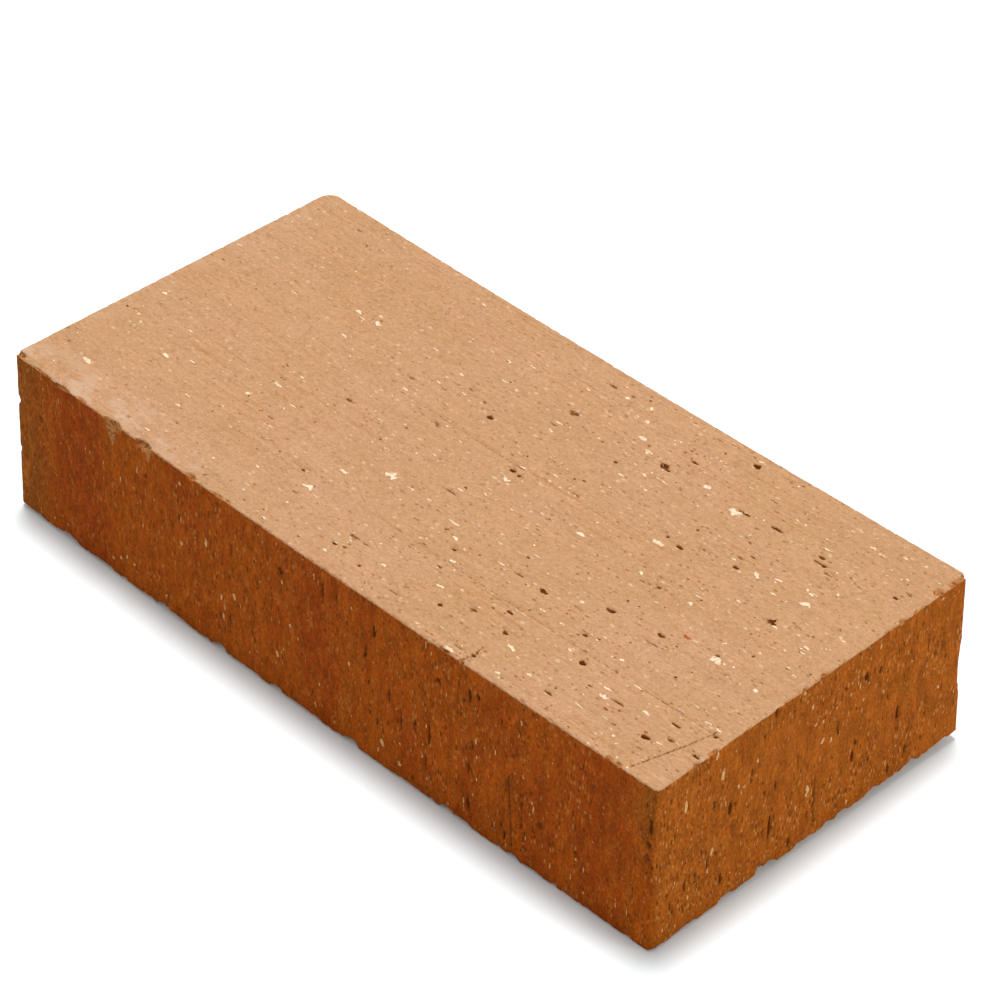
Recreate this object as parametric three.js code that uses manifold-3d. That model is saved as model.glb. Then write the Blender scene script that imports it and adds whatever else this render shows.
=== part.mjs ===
// Solid fired-clay brick, 240 x 115 x 53 mm. Millimetres, +Z up, origin at the centre of the lower bed face.
// +X runs along the length. The column of clay was pressed along Z, and a wire cut the two bed faces along X.
// The body is one fired piece. The coarse mineral grains baked into its faces are the only other solids, and
// each sits in its own open pocket.
import * as THREE from 'three';
import { mergeVertices } from 'three/addons/utils/BufferGeometryUtils.js';
import Module from 'manifold-3d';

const wasm = await Module();
wasm.setup();

// ---- driving dimensions ----
const LENGTH = 240;
const WIDTH = 115;
const HEIGHT = 53;
const ARRIS = 0.6;                    // worn width of every horizontal edge
const CORNER_R = 2;                   // upright edges, as the die leaves them
const RUBBED_CORNER_R = 4;            // the upright edge at -X +Y, rubbed rounder
const CORNER_STEPS = 5;
const GRAIN_GAP = 0.32;               // clearance between a grain and its pocket
const GRAIN_RECESS = 0.12;            // grains stay this far below the face, so a flat plate rests on the clay
const GRAIN_DEPTH = 0.55;             // depth of a grain as a share of its width

// ---- colours and finishes ----
const CLAY = { color: 0xa8622c, roughness: 0.92, metalness: 0 };
const QUARTZ = { color: 0xf0e2cc, roughness: 0.55, metalness: 0 };
const IRONSTONE = { color: 0x4a2412, roughness: 0.7, metalness: 0 };
const RED_GROG = { color: 0x9c3f22, roughness: 0.85, metalness: 0 };

// ---- faces: where a place (u, v) on each face is, and which way the clay or the wire ran there ----
// long: the direction in which grains and slits are drawn out. wide: across it. out: away from the clay.
const X = new THREE.Vector3(1, 0, 0);
const Y = new THREE.Vector3(0, 1, 0);
const Z = new THREE.Vector3(0, 0, 1);
const FACES = {
  top: { at: (u, v) => new THREE.Vector3(u, v, HEIGHT), long: X, wide: Y, out: Z },
  side: { at: (u, v) => new THREE.Vector3(u, -WIDTH / 2, v), long: Z, wide: X, out: Y.clone().negate() },
  end: { at: (u, v) => new THREE.Vector3(LENGTH / 2, u, v), long: Z, wide: Y, out: X },
};

// ---- coarse grains: name, face, place (mm), length, width (mm), mineral ----
const GRAINS = [
  ['quartz_grain_top_01', 'top', 98, -13, 3.6, 2.8, QUARTZ],
  ['quartz_grain_top_02', 'top', -10, -19, 4.6, 3.0, QUARTZ],
  ['quartz_grain_top_03', 'top', 62, 34, 4.8, 3.0, QUARTZ],
  ['quartz_grain_top_04', 'top', 57, 11, 4.0, 2.0, QUARTZ],
  ['quartz_grain_top_05', 'top', 83, 19, 3.2, 1.8, QUARTZ],
  ['quartz_grain_top_06', 'top', 99, 19, 3.2, 2.2, QUARTZ],
  ['quartz_grain_top_07', 'top', 41, -1, 3.6, 1.6, QUARTZ],
  ['quartz_grain_top_08', 'top', -21, -38, 4.0, 2.0, QUARTZ],
  ['quartz_grain_top_09', 'top', 88, -42, 3.2, 1.8, QUARTZ],
  ['quartz_grain_top_10', 'top', -20, -27, 3.2, 1.6, QUARTZ],
  ['quartz_grain_top_11', 'top', 24, 40, 3.2, 1.8, QUARTZ],
  ['quartz_grain_top_12', 'top', -104, -45, 4.4, 2.2, QUARTZ],
  ['quartz_grain_top_13', 'top', 60, -45, 3.4, 1.4, QUARTZ],
  ['quartz_grain_top_14', 'top', 12, 1, 2.8, 1.6, QUARTZ],
  ['ironstone_grain_top_01', 'top', 36, 36, 2.8, 2.4, IRONSTONE],
  ['ironstone_grain_top_02', 'top', 98, 8, 4.0, 3.2, IRONSTONE],
  ['ironstone_grain_top_03', 'top', 50, -24, 3.4, 1.8, IRONSTONE],
  ['red_grog_grain_top_01', 'top', 87, -11, 3.0, 1.6, RED_GROG],
  ['quartz_grain_side_01', 'side', -29, 22, 2.8, 1.7, QUARTZ],
  ['quartz_grain_side_02', 'side', 28, 8, 2.8, 2.0, QUARTZ],
  ['quartz_grain_side_03', 'side', -40, 34, 3.6, 1.6, QUARTZ],
  ['quartz_grain_side_04', 'side', 34, 5, 2.2, 1.5, QUARTZ],
  ['quartz_grain_side_05', 'side', -12, 13, 2.6, 1.5, QUARTZ],
  ['quartz_grain_end_01', 'end', -34, 43, 4.8, 1.5, QUARTZ],
  ['quartz_grain_end_02', 'end', -47, 41, 5.0, 1.4, QUARTZ],
  ['quartz_grain_end_03', 'end', 3, 31, 2.0, 1.7, QUARTZ],
  ['quartz_grain_end_04', 'end', -2, 17, 4.6, 1.6, QUARTZ],
  ['quartz_grain_end_05', 'end', -37, 20, 3.0, 1.5, QUARTZ],
];

// ---- drawn-out slits and pits where a soft lump tore out: face, place, length, width (mm) ----
const SLITS = [
  ['top', 5, -12, 9, 1.2], ['top', -42, -5, 5, 1.6], ['top', 3, -43, 5, 1.2], ['top', 50, -36, 3, 1.4],
  ['top', 92, -41, 5, 1.2], ['top', 63, 39, 4, 1.2], ['top', 75, 37, 5, 1.3], ['top', 91, 34, 6, 1.0],
  ['top', 3, 35, 5, 1.6], ['top', 53, 53, 2.6, 2.0], ['top', -38, 14, 4.5, 1.4], ['top', -11, 17, 2.4, 2.0],
  ['top', 10, 6, 2.4, 1.6], ['top', -111, -14, 4, 1.6], ['top', -114, -43, 4, 1.6], ['top', 105, -46, 2.8, 1.8],
  ['top', 82, -15, 4, 1.4], ['top', 107, -37, 4, 1.2],
  ['side', 5, 45, 7, 1.2], ['side', 24, 43, 4, 1.2], ['side', -51, 36, 4, 2.0], ['side', -11, 42, 3, 1.8],
  ['side', 47, 41, 2, 1.6], ['side', 34, 20, 8, 1.1], ['side', 72, 14, 21, 1.0], ['side', 58, 8, 5, 1.4],
  ['side', 56, 43, 8, 1.2], ['side', -110, 36, 3, 2.4], ['side', -31, 12, 9, 1.2], ['side', 44, 22, 9, 1.2],
  ['end', 1, 12, 17, 0.9], ['end', -30, 30, 6, 1.4], ['end', -15, 13, 7, 1.4], ['end', -33, 8, 5, 1.4],
  ['end', 32, 22, 5, 1.4], ['end', 15, 18, 4.5, 1.4], ['end', 36, 7, 3.4, 1.3], ['end', 29, 5, 4, 1.2],
  ['end', 19, 42, 3, 1.7],
];
const SLIT_DEPTH = 0.8;               // depth of a slit as a share of its width

// ---- chips broken off the edges: place (x, y, z), reach along the edge, inward, and up or down (mm) ----
const HALF_L = LENGTH / 2;
const HALF_W = WIDTH / 2;
const CHIPS = [
  { at: [-78, -HALF_W, HEIGHT], size: [5.0, 1.2, 4.0] },
  { at: [-65, -HALF_W, HEIGHT], size: [3.6, 1.2, 2.6] },
  { at: [-46, -HALF_W, HEIGHT], size: [2.6, 1.0, 1.4] },
  { at: [50, -HALF_W, HEIGHT], size: [2.4, 1.2, 1.0] },
  { at: [109, -HALF_W, HEIGHT], size: [3.0, 1.4, 1.2] },
  { at: [-96, -HALF_W, 0], size: [4.0, 1.4, 1.2] },
  { at: [-56, -HALF_W, 0], size: [4.5, 1.6, 1.5] },
  { at: [-31, -HALF_W, 0], size: [4.5, 1.6, 1.3] },
  { at: [-12, -HALF_W, 0], size: [2.4, 1.4, 1.0] },
  { at: [18, -HALF_W, 0], size: [3.0, 1.4, 1.1] },
  { at: [54, -HALF_W, 0], size: [3.2, 1.6, 1.5] },
  { at: [HALF_L, -18, 0], size: [1.8, 2.6, 3.0] },
  { at: [HALF_L, -46, 0], size: [1.6, 4.0, 1.1] },
  { at: [HALF_L, 39, 0], size: [1.6, 2.6, 1.4] },
  { at: [HALF_L, 54, 0], size: [1.6, 2.2, 1.6] },
  { at: [HALF_L, 47, HEIGHT], size: [1.2, 1.6, 1.0] },
];

// ---- mesh and solid helpers ----
function toSolid(geometry) {
  const bare = geometry.index ? geometry.toNonIndexed() : geometry.clone();
  bare.deleteAttribute('normal');
  bare.deleteAttribute('uv');
  const merged = mergeVertices(bare, 1e-4);
  return new wasm.Manifold(new wasm.Mesh({
    numProp: 3,
    vertProperties: new Float32Array(merged.attributes.position.array),
    triVerts: new Uint32Array(merged.index.array),
  }));
}

function toGeometry(solid) {
  const { numProp, vertProperties, triVerts } = solid.getMesh();
  const points = new Float32Array(vertProperties.length / numProp * 3);
  for (let i = 0; i < points.length / 3; i += 1) {
    points.set(vertProperties.subarray(i * numProp, i * numProp + 3), i * 3);
  }
  const geometry = new THREE.BufferGeometry();
  geometry.setAttribute('position', new THREE.BufferAttribute(points, 3));
  geometry.setIndex(new THREE.BufferAttribute(new Uint32Array(triVerts), 1));
  geometry.computeVertexNormals();
  return geometry;
}

// An ellipsoid lying in a face, centred on the surface: long and wide are its full size in the face, deep is
// how far it reaches into the clay.
function lens(face, u, v, long, wide, deep, around = 10, rings = 6) {
  const f = FACES[face];
  const geometry = new THREE.SphereGeometry(1, around, rings);
  const frame = new THREE.Matrix4().makeBasis(
    f.long.clone().multiplyScalar(long / 2),
    f.wide.clone().multiplyScalar(wide / 2),
    f.long.clone().cross(f.wide).multiplyScalar(deep),
  );
  geometry.applyMatrix4(frame.setPosition(f.at(u, v)));
  return geometry;
}

// ---- body ----
function outline() {
  const corners = [
    [HALF_L, -HALF_W, -90, CORNER_R],
    [HALF_L, HALF_W, 0, CORNER_R],
    [-HALF_L, HALF_W, 90, RUBBED_CORNER_R],
    [-HALF_L, -HALF_W, 180, CORNER_R],
  ];
  const points = [];
  for (const [x, y, startDeg, radius] of corners) {
    const r = radius - ARRIS;
    const cx = x - Math.sign(x) * radius;
    const cy = y - Math.sign(y) * radius;
    for (let i = 0; i <= CORNER_STEPS; i += 1) {
      const angle = THREE.MathUtils.degToRad(startDeg + 90 * i / CORNER_STEPS);
      points.push(new THREE.Vector2(cx + r * Math.cos(angle), cy + r * Math.sin(angle)));
    }
  }
  return new THREE.Shape(points);
}

function blank() {
  const geometry = new THREE.ExtrudeGeometry(outline(), {
    depth: HEIGHT - 2 * ARRIS,
    bevelEnabled: true,
    bevelThickness: ARRIS,
    bevelSize: ARRIS,
    bevelSegments: 1,
  });
  geometry.translate(0, 0, ARRIS);
  return toSolid(geometry);
}

function pocket([, face, u, v, long, wide]) {
  const grow = 2 * GRAIN_GAP;
  return toSolid(lens(face, u, v, long + grow, wide + grow, wide * GRAIN_DEPTH + GRAIN_GAP));
}

function slit([face, u, v, long, wide]) {
  return toSolid(lens(face, u, v, long, wide, wide * SLIT_DEPTH, 8, 4));
}

function chip({ at, size }) {
  const geometry = new THREE.IcosahedronGeometry(1, 1);
  geometry.scale(...size);
  geometry.translate(...at);
  return toSolid(geometry);
}

function body() {
  let solid = blank();
  for (const cut of [...GRAINS.map(pocket), ...SLITS.map(slit), ...CHIPS.map(chip)]) {
    solid = solid.subtract(cut);
  }
  return toGeometry(solid);
}

// ---- grains ----
// A grain is the part of an ellipsoid below the face: rounded where the clay holds it, flat where the wire or
// the die passed over it.
function grain([, face, u, v, long, wide]) {
  const deep = wide * GRAIN_DEPTH;
  const stone = toSolid(lens(face, u, v, long, wide, deep));
  const slab = new THREE.BoxGeometry(long * 2, long * 2, long * 2);
  const centre = FACES[face].at(u, v).addScaledVector(FACES[face].out, long - GRAIN_RECESS);
  slab.translate(centre.x, centre.y, centre.z);
  return toGeometry(stone.subtract(toSolid(slab)));
}

// ---- assembly ----
function node(name, geometry, finish) {
  const mesh = new THREE.Mesh(geometry, new THREE.MeshStandardMaterial(finish));
  mesh.name = name;
  return mesh;
}

const brick = new THREE.Group();
brick.add(node('brick_body', body(), CLAY));
for (const entry of GRAINS) {
  brick.add(node(entry[0], grain(entry), entry[6]));
}

export default brick;
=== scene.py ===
"""The looks of a solid fired-clay brick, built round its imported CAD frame.

The clay was pressed out in one column along Z, which left upright streaks on the four sides, and a wire cut
the two bed faces, which left drag marks along X. Sizes are millimetres here, and metres once in a mesh.
"""

import math

import bmesh
import bpy
import numpy as np
from mathutils import Matrix, Vector


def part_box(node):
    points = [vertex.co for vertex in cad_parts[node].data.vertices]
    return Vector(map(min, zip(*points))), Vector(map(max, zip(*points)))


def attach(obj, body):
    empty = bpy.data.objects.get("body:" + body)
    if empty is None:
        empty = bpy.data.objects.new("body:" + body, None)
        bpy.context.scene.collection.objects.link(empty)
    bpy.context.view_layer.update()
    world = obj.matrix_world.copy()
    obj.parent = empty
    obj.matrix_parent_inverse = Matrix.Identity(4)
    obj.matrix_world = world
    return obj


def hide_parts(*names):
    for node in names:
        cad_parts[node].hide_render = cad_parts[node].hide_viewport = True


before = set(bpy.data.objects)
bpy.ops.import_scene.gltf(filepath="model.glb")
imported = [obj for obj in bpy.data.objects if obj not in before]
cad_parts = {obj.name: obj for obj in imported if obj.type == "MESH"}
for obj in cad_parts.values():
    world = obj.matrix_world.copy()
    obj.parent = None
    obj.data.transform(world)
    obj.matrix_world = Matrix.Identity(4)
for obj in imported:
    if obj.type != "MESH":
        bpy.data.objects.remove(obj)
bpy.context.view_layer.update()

MM = 0.001
SEED = 53
body_low, body_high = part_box("brick_body")
LENGTH, WIDTH, HEIGHT = ((body_high - body_low) / MM)
HALF_L = LENGTH / 2
HALF_W = WIDTH / 2

# ---------------------------------------------------------------- camera: the product shot's viewing angle
CAMERA_AZIMUTH = math.radians(45.33)
CAMERA_ELEVATION = math.radians(38.08)
CAMERA_ROLL = math.radians(0.99)
CAMERA_DISTANCE = 930.4
CAMERA_LENS = 125.56
AIM_RIGHT = 7.98
AIM_UP = 31.07


def make_camera():
    """A long lens, aimed a little above and to the right of the middle of the brick's underside."""
    az, el = CAMERA_AZIMUTH, CAMERA_ELEVATION
    back = Vector((math.sin(az) * math.cos(el), -math.cos(az) * math.cos(el), math.sin(el)))
    level = Vector((math.cos(az), math.sin(az), 0))
    upright = back.cross(level)
    right = level * math.cos(CAMERA_ROLL) + upright * math.sin(CAMERA_ROLL)
    up = upright * math.cos(CAMERA_ROLL) - level * math.sin(CAMERA_ROLL)
    place = (back * CAMERA_DISTANCE + right * AIM_RIGHT + up * AIM_UP) * MM
    data = bpy.data.cameras.new("camera")
    data.lens = CAMERA_LENS
    data.sensor_width = 36
    data.clip_start = 0.01
    data.clip_end = 50
    camera = bpy.data.objects.new("camera", data)
    rotation = Matrix((right, up, back)).transposed().to_4x4()
    camera.matrix_world = Matrix.Translation(place) @ rotation
    bpy.context.scene.collection.objects.link(camera)
    bpy.context.scene.camera = camera


# ---------------------------------------------------------------- repeatable noise
def lattice(ix, iy, iz, seed):
    """A repeatable value from -1 to 1 for each whole-number point."""
    h = (ix * 374761393 + iy * 668265263 + iz * 1442695041 + seed * 974711) & 0xFFFFFFFF
    h = ((h ^ (h >> 13)) * 1274126177) & 0xFFFFFFFF
    return ((h ^ (h >> 16)) & 0xFFFF) / 32767.5 - 1


def noise(points, size, seed, octaves=1):
    """Smooth noise from -1 to 1. size is the width of one bump along each axis, in mm."""
    total = np.zeros(len(points))
    reach = 0.0
    for octave in range(octaves):
        weight = 0.5 ** octave
        q = points / (np.array(size, float) * weight) + 17.3 * octave
        cell = np.floor(q).astype(np.int64)
        t = q - cell
        t = t * t * (3 - 2 * t)
        value = np.zeros(len(points))
        for corner in range(8):
            bits = np.array([corner & 1, corner >> 1 & 1, corner >> 2])
            share = np.prod(np.where(bits, t, 1 - t), axis=1)
            value += share * lattice(*(cell + bits).T, seed + octave)
        total += weight * value
        reach += weight
    return total / reach


def smooth(value, low, high):
    """0 below low, 1 above high, and a smooth step between."""
    t = np.clip((value - low) / (high - low), 0, 1)
    return t * t * (3 - 2 * t)


# ---------------------------------------------------------------- the block: a dense grid on a true box
FINE_STEP = 0.38
EDGE_STEPS = (0.18, 0.18, 0.22, 0.28, 0.36)       # closer lines beside each edge
PIT_RAGGED = 0.45                                 # how far a pit's rim wanders, as a share of its radius
PIT_BOWL = 0.65                                   # below 1, a pit has a broad floor and steep walls


def grid_lines(length):
    """Where the grid's lines cross one side of the box, closer together beside its two ends."""
    edge = np.cumsum(EDGE_STEPS)
    count = round((length - 2 * edge[-1]) / FINE_STEP)
    middle = np.linspace(edge[-1], length - edge[-1], count + 1)
    return np.concatenate([[0], edge[:-1], middle, length - edge[-2::-1], [length]])


class Block:
    """Every point of the box's surface once, with one index grid for each face.

    faces[name] is (grid of point numbers, drawn axis, cross axis, normal). The grid's first index runs along
    the drawn axis, the way the wire or the die ran on that face, and its second along the cross axis.
    """

    def __init__(self):
        xs, ys, zs = (grid_lines(s) for s in (LENGTH, WIDTH, HEIGHT))
        shape = (len(xs), len(ys), len(zs))
        number = np.full(shape, -1, np.int64)
        shell = np.zeros(shape, bool)
        for axis in range(3):
            side = [slice(None)] * 3
            for end in (0, -1):
                side[axis] = end
                shell[tuple(side)] = True
        number[shell] = np.arange(shell.sum())
        i, j, k = np.nonzero(shell)
        self.points = np.stack([xs[i] - HALF_L, ys[j] - HALF_W, zs[k]], 1)
        self.faces = {
            "top": (number[:, :, -1], 0, 1, (0, 0, 1)),
            "under": (number[:, :, 0], 0, 1, (0, 0, -1)),
            "side": (number[:, 0, :].T, 2, 0, (0, -1, 0)),
            "back": (number[:, -1, :].T, 2, 0, (0, 1, 0)),
            "end": (number[-1, :, :].T, 2, 1, (1, 0, 0)),
            "far": (number[0, :, :].T, 2, 1, (-1, 0, 0)),
        }
        self.sunk = np.zeros(len(self.points))
        self.raw = np.zeros(len(self.points))
        self.bed = np.zeros(len(self.points))
        self.end = np.zeros(len(self.points))
        self.rim_noise = noise(self.points, (0.9, 0.9, 0.9), SEED, 2)

    def quads(self):
        """The four corners of every grid cell, turned so that each face looks outwards."""
        found = []
        for grid, drawn, cross, normal in self.faces.values():
            cells = np.stack([grid[:-1, :-1], grid[1:, :-1], grid[1:, 1:], grid[:-1, 1:]], -1).reshape(-1, 4)
            turn = np.cross(np.eye(3)[drawn], np.eye(3)[cross]) @ np.array(normal)
            found.append(cells if turn > 0 else cells[:, ::-1])
        return np.concatenate(found)

    def patch(self, face, u, v, reach_u, reach_v):
        """The points of a face near (u, v), with how far each lies along and across the drawn direction."""
        grid, drawn, cross, _ = self.faces[face]
        along = self.points[grid[:, 0], drawn]
        across = self.points[grid[0, :], cross]
        i0, i1 = np.searchsorted(along, (u - reach_u, u + reach_u))
        j0, j1 = np.searchsorted(across, (v - reach_v, v + reach_v))
        ids = grid[i0:i1, j0:j1]
        du, dv = np.meshgrid(along[i0:i1] - u, across[j0:j1] - v, indexing="ij")
        return ids, du, dv

    def pit(self, face, u, v, long, wide, deep):
        """A torn hollow, long by wide, with a ragged rim."""
        grow = 1 + PIT_RAGGED
        ids, du, dv = self.patch(face, u, v, long / 2 * grow, wide / 2 * grow)
        if ids.size == 0:
            return
        r = np.hypot(du / (long / 2), dv / (wide / 2)) + PIT_RAGGED * self.rim_noise[ids]
        depth = deep * np.clip(1 - r * r, 0, 1) ** PIT_BOWL
        self.sunk[ids] = np.maximum(self.sunk[ids], depth)

    def groove(self, face, route, wide, deep, wander=0.3):
        """A crack or scratch along a route of (u, v) points, wandering a little from side to side."""
        grid, drawn, cross, _ = self.faces[face]
        ids = grid.ravel()
        place = self.points[ids][:, [drawn, cross]]
        place = place + wander * np.stack([self.rim_noise[ids], self.rim_noise[ids]], 1)
        best = np.full(len(ids), 1e9)
        for a, b in zip(route[:-1], route[1:]):
            a, b = np.array(a, float), np.array(b, float)
            t = np.clip((place - a) @ (b - a) / ((b - a) @ (b - a)), 0, 1)
            best = np.minimum(best, np.linalg.norm(place - a - t[:, None] * (b - a), axis=1))
        depth = deep * np.clip(1 - best / (wide / 2), 0, 1)
        self.sunk[ids] = np.maximum(self.sunk[ids], depth)


# ---------------------------------------------------------------- what marks each face
# Torn pits and slits that stand out: along the drawn direction, across it, length, width, depth (mm).
TOP_PITS = [
    (5, -12.5, 9, 0.8, 0.7), (-42, -5, 5, 1.5, 0.9), (2, -43, 4.5, 1.2, 0.8), (6, -43, 3, 0.9, 0.6),
    (50, -35.5, 3, 1.4, 0.9), (92, -41, 5, 1.0, 0.8), (64, 36, 4.5, 1.3, 0.7), (74, 37, 4.5, 1.4, 0.8),
    (91, 34.5, 6, 0.9, 0.6), (95, 32.5, 4, 0.8, 0.5), (3.5, 35, 5.5, 1.6, 0.7), (53, 53, 2.6, 2.2, 1.0),
    (-38, 14, 4.5, 1.5, 0.7), (-10.5, 17, 2.6, 2.0, 0.9), (10, 5.5, 2.6, 1.6, 1.0),
    (12.8, 5, 1.6, 1.4, 0.8), (-110, -14, 4.5, 1.6, 0.6), (-114, -43, 4, 1.8, 0.7),
    (105, -45.5, 2.8, 2.0, 1.0), (82, -15, 4, 1.6, 0.8), (83, -19, 5, 0.8, 0.6), (107, -37, 4, 1.0, 0.8),
    (36, 35.5, 2.8, 2.6, 1.0), (36, -46, 2.4, 1.3, 0.8), (-66, -45, 3.6, 1.6, 0.7),
    (67, -17, 3, 1.8, 0.8), (62, 13.5, 2.6, 1.6, 0.8), (55, -42, 2.4, 1.6, 0.8), (-18, 5, 6, 2.2, 0.5),
    (-61, -11.5, 3, 1.2, 0.6), (77, 18, 2.4, 1.4, 0.7), (113, 37.5, 1.8, 1.4, 0.8),
    (76, -36.5, 2.2, 1.8, 0.9), (69, -28.5, 2.4, 1.4, 0.7), (25, -51, 4.5, 0.9, 0.6),
    (0, -48.5, 2.6, 1.0, 0.7), (11, -50, 1.6, 1.2, 0.7), (55.5, -53.5, 2.0, 0.9, 0.5),
    (78, -50.5, 3, 1.0, 0.7), (97, -11, 1.8, 1.4, 0.9), (118, -42, 3, 1.2, 0.8), (38, -17, 1.6, 1.2, 0.7),
    (26, 27.5, 1.6, 1.2, 0.6), (-94, -29, 6, 0.9, 0.5), (-84, 9, 3, 1.6, 0.5), (-28, -34, 2, 1.4, 0.7),
    (-95, 40, 4, 1.2, 0.4), (-28, 17, 3, 1.2, 0.5),
]
SIDE_PITS = [
    (45, 5, 7.5, 0.9, 0.9), (43, 24, 5, 1.0, 0.9), (36, -51, 4.5, 1.8, 0.7), (42, -11, 3.2, 2.0, 0.8),
    (41.5, 47, 2, 1.8, 0.9), (20, 34, 9, 0.9, 0.7), (8, 58, 5.5, 1.3, 0.9), (43, 58, 6, 1.6, 0.8),
    (36, -110, 3, 2.6, 0.8), (12, -31, 10, 1.0, 0.7), (22, 44, 10, 0.9, 0.7), (8, -33, 4, 1.2, 0.6),
    (35, 21, 6, 1.0, 0.7), (45, 61, 3, 1.4, 0.8), (32, -20, 5, 1.0, 0.6), (20, 58, 4, 1.2, 0.8),
    (40, 118, 7, 1.4, 0.7), (34, 117.6, 3, 2.0, 0.6), (29.5, 117.4, 2.2, 2.8, 0.5),
    (46, 116.6, 3, 0.8, 0.5), (8, 1, 4, 0.9, 0.6), (22, 39, 5, 1.0, 0.7), (11, 43, 9, 1.0, 0.7),
    (6, -56, 3, 1.4, 0.6), (25, -55, 9, 0.8, 0.5), (37, -30, 6, 1.0, 0.6), (28, -31, 2.4, 1.4, 0.6),
    (46, 10, 4, 1.0, 0.6),
]
END_PITS = [
    (12, 0.8, 17, 0.8, 0.9), (30, -30.5, 6, 1.5, 1.0), (14, -15.5, 8, 1.3, 1.0), (8, -33, 5, 1.3, 0.9),
    (22, 32, 5.5, 1.5, 1.0), (18, 15, 5, 1.5, 1.0), (7, 36, 4, 1.2, 0.8), (4, 29.5, 5, 1.2, 0.8),
    (42, 19, 3.4, 1.8, 0.9), (41, 24.5, 2.6, 1.3, 0.8), (27, -14, 4, 1.0, 0.7), (27, -18, 3, 1.0, 0.6),
    (4, -8, 4, 1.1, 0.7), (15, -46, 5, 0.9, 0.7), (37, -23, 3, 1.2, 0.7), (22, 16, 2, 1.2, 0.8),
    (30, 28, 2.4, 1.0, 0.6), (30, -6, 9, 0.7, 0.5), (44, -27, 3, 0.9, 0.6), (51, -15, 4, 1.2, 0.7),
]
# Shallow scratches that the wire dragged along the bed: y, first x, last x, depth (mm).
WIRE_SCRATCHES = [(7.5, -108, 12, 0.36), (-33, -118, 118, 0.30), (-11, -60, -20, 0.24), (-14, -70, -35, 0.22),
                  (5, 20, 118, 0.16), (-53, -80, -30, 0.26), (-30, 8, 20, 0.26), (-16, -55, 10, 0.20)]
# Pits scattered at random on a face of 100 x 100 mm: how many, and their length, width and depth (mm).
SCATTER = {
    "top": (70, (0.8, 3.6), (0.5, 1.2), (0.25, 0.7)),
    "under": (70, (0.8, 3.6), (0.5, 1.2), (0.25, 0.7)),
    "side": (150, (0.9, 5.5), (0.5, 1.1), (0.3, 0.75)),
    "back": (150, (0.9, 5.5), (0.5, 1.1), (0.3, 0.75)),
    "end": (180, (0.9, 6.0), (0.5, 1.1), (0.3, 0.75)),
    "far": (180, (0.9, 6.0), (0.5, 1.1), (0.3, 0.75)),
}


def crispness(points):
    """How freshly torn the surface is: full at the near end, worn down towards the far end."""
    return 0.55 + 0.45 * smooth(points[:, 0], -90, 60)


def crowding(block, face, u, v, least):
    """The share of marks to keep at a place: they gather in loose clusters, and thin out to the far end."""
    _, drawn, cross, normal = block.faces[face]
    spot = np.array(normal, float) * (HALF_L, HALF_W, HEIGHT)
    spot[drawn], spot[cross] = u, v
    cluster = 0.75 + 0.9 * noise(spot[None], (11, 11, 14), SEED + 31)[0]
    return cluster * (least + (1 - least) * smooth(spot[0], -110, 60))


def mark_faces(block, rng):
    for u, v, long, wide, deep in TOP_PITS:
        block.pit("top", u, v, long, wide * 0.85, deep * (0.75 if long > 3.2 else 1.0))
    for u, v, long, wide, deep in SIDE_PITS:
        block.pit("side", u, v, long, wide, deep)
    for u, v, long, wide, deep in END_PITS:
        block.pit("end", u, v, long, wide, deep)
    for y, first, last, deep in WIRE_SCRATCHES:
        for face, sign in (("top", 1), ("under", -1)):
            block.groove(face, [(first, y * sign), (last, y * sign)], 0.9, deep, 0.15)
    block.groove("side", [(26, 71.5), (14, 72.5), (1, 73.5)], 0.9, 0.65)
    block.groove("side", [(53, 55), (50, 55), (44, 54), (38, 54)], 0.9, 0.5)
    block.groove("top", [(109, -57), (111, -50), (113.5, -41), (115.5, -32)], 0.9, 0.42, 0.2)
    block.groove("top", [(54.5, -57), (55.5, -53), (54.5, -50)], 0.8, 0.5, 0.6)
    for face, (density, longs, wides, deeps) in SCATTER.items():
        grid, drawn, cross, _ = block.faces[face]
        low_u, high_u = block.points[grid[[0, -1], 0], drawn]
        low_v, high_v = block.points[grid[0, [0, -1]], cross]
        count = int(density * (high_u - low_u) * (high_v - low_v) / 1e4)
        for _ in range(count):
            u, v = rng.uniform(low_u + 2, high_u - 2), rng.uniform(low_v + 1, high_v - 1)
            small = rng.random() ** 2
            long = longs[0] + (longs[1] - longs[0]) * small
            wide = rng.uniform(*wides)
            deep = rng.uniform(*deeps)
            if rng.random() < crowding(block, face, u, v, 0.45):
                block.pit(face, u, v, long, wide, deep)


# ---------------------------------------------------------------- the block's true shape
CORNER_RADII = {(1, -1): 1.7, (1, 1): 1.1, (-1, 1): 4.2, (-1, -1): 1.0}
# How far each corner of the fired brick stands in from the true box: inwards in x and y, and up (mm).
CORNER_INSET = {
    (-1, -1, 1): (3.0, 0.4, 0), (-1, 1, 1): (1.6, 0.0, 0),
    (1, 1, 1): (1.7, 0.5, 0), (1, -1, 1): (0.0, 2.0, 0),
    (-1, -1, 0): (0.0, 0.3, 0.6), (-1, 1, 0): (0.0, 0.0, 0),
    (1, 1, 0): (-0.4, -0.4, 2.8), (1, -1, 0): (0.0, 2.4, 0),
}
BED_SKIN = 1.2                             # the pale bed skin is read off within this depth of a bed (mm)
BOW = 1.35                                 # the long sides curve this far towards -Y at mid length
TOP_WEAR, LOW_WEAR = 0.24, 0.5             # how far the upper and lower edges are worn back (mm)
WEAR_POWER = 1.7                           # 2 would wear an edge to a quarter circle, and 1 to a flat
SHELTERED = 0.6                            # the back and far top edges are worn this much as far
RELIEF = 0.14                              # the faces stand in by this much on average (mm)


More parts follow.
